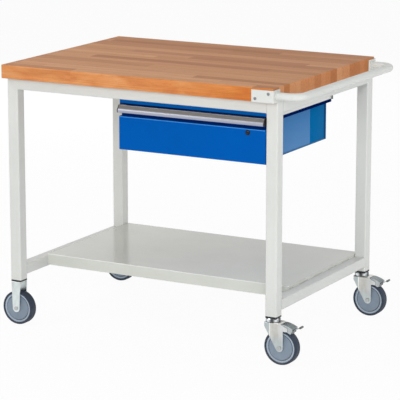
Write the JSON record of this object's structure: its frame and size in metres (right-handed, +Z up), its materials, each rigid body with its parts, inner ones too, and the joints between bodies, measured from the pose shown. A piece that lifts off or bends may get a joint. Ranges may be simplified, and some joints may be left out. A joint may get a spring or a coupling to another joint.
{
  "type": "mobile workbench",
  "caption": "Wheeled workbench: thick beech top on a light grey tube frame, with a blue lockable drawer, a low sheet-metal shelf, and a bent push handle at one end.",
  "frame": {"origin": "on the floor, under the middle of the bench's outline with its handle and wheels", "axes": "+X along the worktop towards the push handle, +Y from the drawer's front to the back, +Z up"},
  "size_m": [1.13, 0.762, 0.89],
  "materials": {
    "beech": "oiled edge-glued beech staves",
    "frame_paint": "light grey powder coat",
    "blue_paint": "semi-gloss blue powder coat",
    "runner_steel": "zinc plated",
    "grip_aluminium": "satin anodised",
    "label_plastic": "dark label strip under a clear cover",
    "black_plastic": "fine grained",
    "lock_black": "smooth black",
    "lock_steel": "nickel plated",
    "zinc_steel": "bright zinc plated",
    "bolt_steel": "zinc plated",
    "screw_dark": "dull zinc plated",
    "hub_plastic": "moulded blue-grey plastic",
    "tyre_rubber": "dark blue-grey solid rubber"
  },
  "bodies": {
    "bench": {"caster_bolts": "bolt_steel", "drawer_fascia": "blue_paint", "fixed_axles": "bolt_steel", "fixed_runners": "runner_steel", "fork_front_left": "zinc_steel", "fork_rear_left": "zinc_steel", "handle_bracket_front": "frame_paint", "handle_bracket_rear": "frame_paint", "handle_screws": "screw_dark", "housing_back": "blue_paint", "housing_hangers": "frame_paint", "housing_side_left": "blue_paint", "housing_side_right": "blue_paint", "leg_front_left": "frame_paint", "leg_front_right": "frame_paint", "leg_inserts": "black_plastic", "leg_rear_left": "frame_paint", "leg_rear_right": "frame_paint", "lower_rail_left": "frame_paint", "lower_rail_right": "frame_paint", "push_handle": "frame_paint", "shelf_tray": "frame_paint", "swivel_balls": "bolt_steel", "swivel_head_front_right": "zinc_steel", "swivel_head_rear_right": "zinc_steel", "top_rail_front": "frame_paint", "top_rail_left": "frame_paint", "top_rail_rear": "frame_paint", "top_rail_right": "frame_paint", "worktop": "beech", "worktop_screws": "bolt_steel"},
    "drawer": {"drawer_side_left": "blue_paint", "drawer_side_right": "blue_paint", "drawer_bottom": "blue_paint", "drawer_back": "blue_paint", "drawer_front": "blue_paint", "drawer_backing": "blue_paint", "drawer_grip": "grip_aluminium", "label_strip": "label_plastic", "grip_end_caps": "black_plastic", "lock_body": "lock_black", "drawer_runners": "runner_steel"},
    "runner_stage": {"middle_runners": "runner_steel"},
    "lock": {"lock_plug": "lock_steel"},
    "swivel_front_right": {"fork_front_right": "zinc_steel", "axle_front_right": "bolt_steel", "brake_housing_front_right": "zinc_steel"},
    "brake_front_right": {"brake_pedal_front_right": "zinc_steel"},
    "swivel_rear_right": {"fork_rear_right": "zinc_steel", "axle_rear_right": "bolt_steel", "brake_housing_rear_right": "zinc_steel"},
    "brake_rear_right": {"brake_pedal_rear_right": "zinc_steel"},
    "wheel_front_left": {"hub_front_left": "hub_plastic", "tyre_front_left": "tyre_rubber"},
    "wheel_front_right": {"hub_front_right": "hub_plastic", "tyre_front_right": "tyre_rubber"},
    "wheel_rear_left": {"hub_rear_left": "hub_plastic", "tyre_rear_left": "tyre_rubber"},
    "wheel_rear_right": {"hub_rear_right": "hub_plastic", "tyre_rear_right": "tyre_rubber"}
  },
  "joints": [
    {"name": "drawer_slide", "type": "slide", "parent": "bench", "child": "drawer", "axis": [0, -1, 0], "range_m": [0, 0.4]},
    {"name": "runner_slide", "type": "slide", "parent": "bench", "child": "runner_stage", "axis": [0, -1, 0], "range_m": [0, 0.2]},
    {"name": "lock_turn", "type": "hinge", "parent": "drawer", "child": "lock", "pos_m": [0.3685, -0.341, 0.739], "axis": [0, 1, 0], "range_deg": [0, 90]},
    {"name": "swivel_turn_front_right", "type": "hinge", "parent": "bench", "child": "swivel_front_right", "pos_m": [0.4525, -0.321, 0.138], "axis": [0, 0, 1], "continuous": true},
    {"name": "brake_press_front_right", "type": "hinge", "parent": "swivel_front_right", "child": "brake_front_right", "pos_m": [0.5065, -0.321, 0.115], "axis": [0, 1, 0], "range_deg": [0, 12]},
    {"name": "swivel_turn_rear_right", "type": "hinge", "parent": "bench", "child": "swivel_rear_right", "pos_m": [0.4525, 0.347, 0.138], "axis": [0, 0, 1], "continuous": true},
    {"name": "brake_press_rear_right", "type": "hinge", "parent": "swivel_rear_right", "child": "brake_rear_right", "pos_m": [0.5065, 0.347, 0.115], "axis": [0, 1, 0], "range_deg": [0, 12]},
    {"name": "wheel_spin_front_left", "type": "hinge", "parent": "bench", "child": "wheel_front_left", "pos_m": [-0.5075, -0.321, 0.0575], "axis": [0, 1, 0], "continuous": true},
    {"name": "wheel_spin_front_right", "type": "hinge", "parent": "swivel_front_right", "child": "wheel_front_right", "pos_m": [0.4845, -0.321, 0.0575], "axis": [0, 1, 0], "continuous": true},
    {"name": "wheel_spin_rear_left", "type": "hinge", "parent": "bench", "child": "wheel_rear_left", "pos_m": [-0.5075, 0.347, 0.0575], "axis": [0, 1, 0], "continuous": true},
    {"name": "wheel_spin_rear_right", "type": "hinge", "parent": "swivel_rear_right", "child": "wheel_rear_right", "pos_m": [0.4845, 0.347, 0.0575], "axis": [0, 1, 0], "continuous": true}
  ],
  "couplings": [
    {"joint": "runner_slide", "follows": "drawer_slide", "ratio": 0.5}
  ]
}
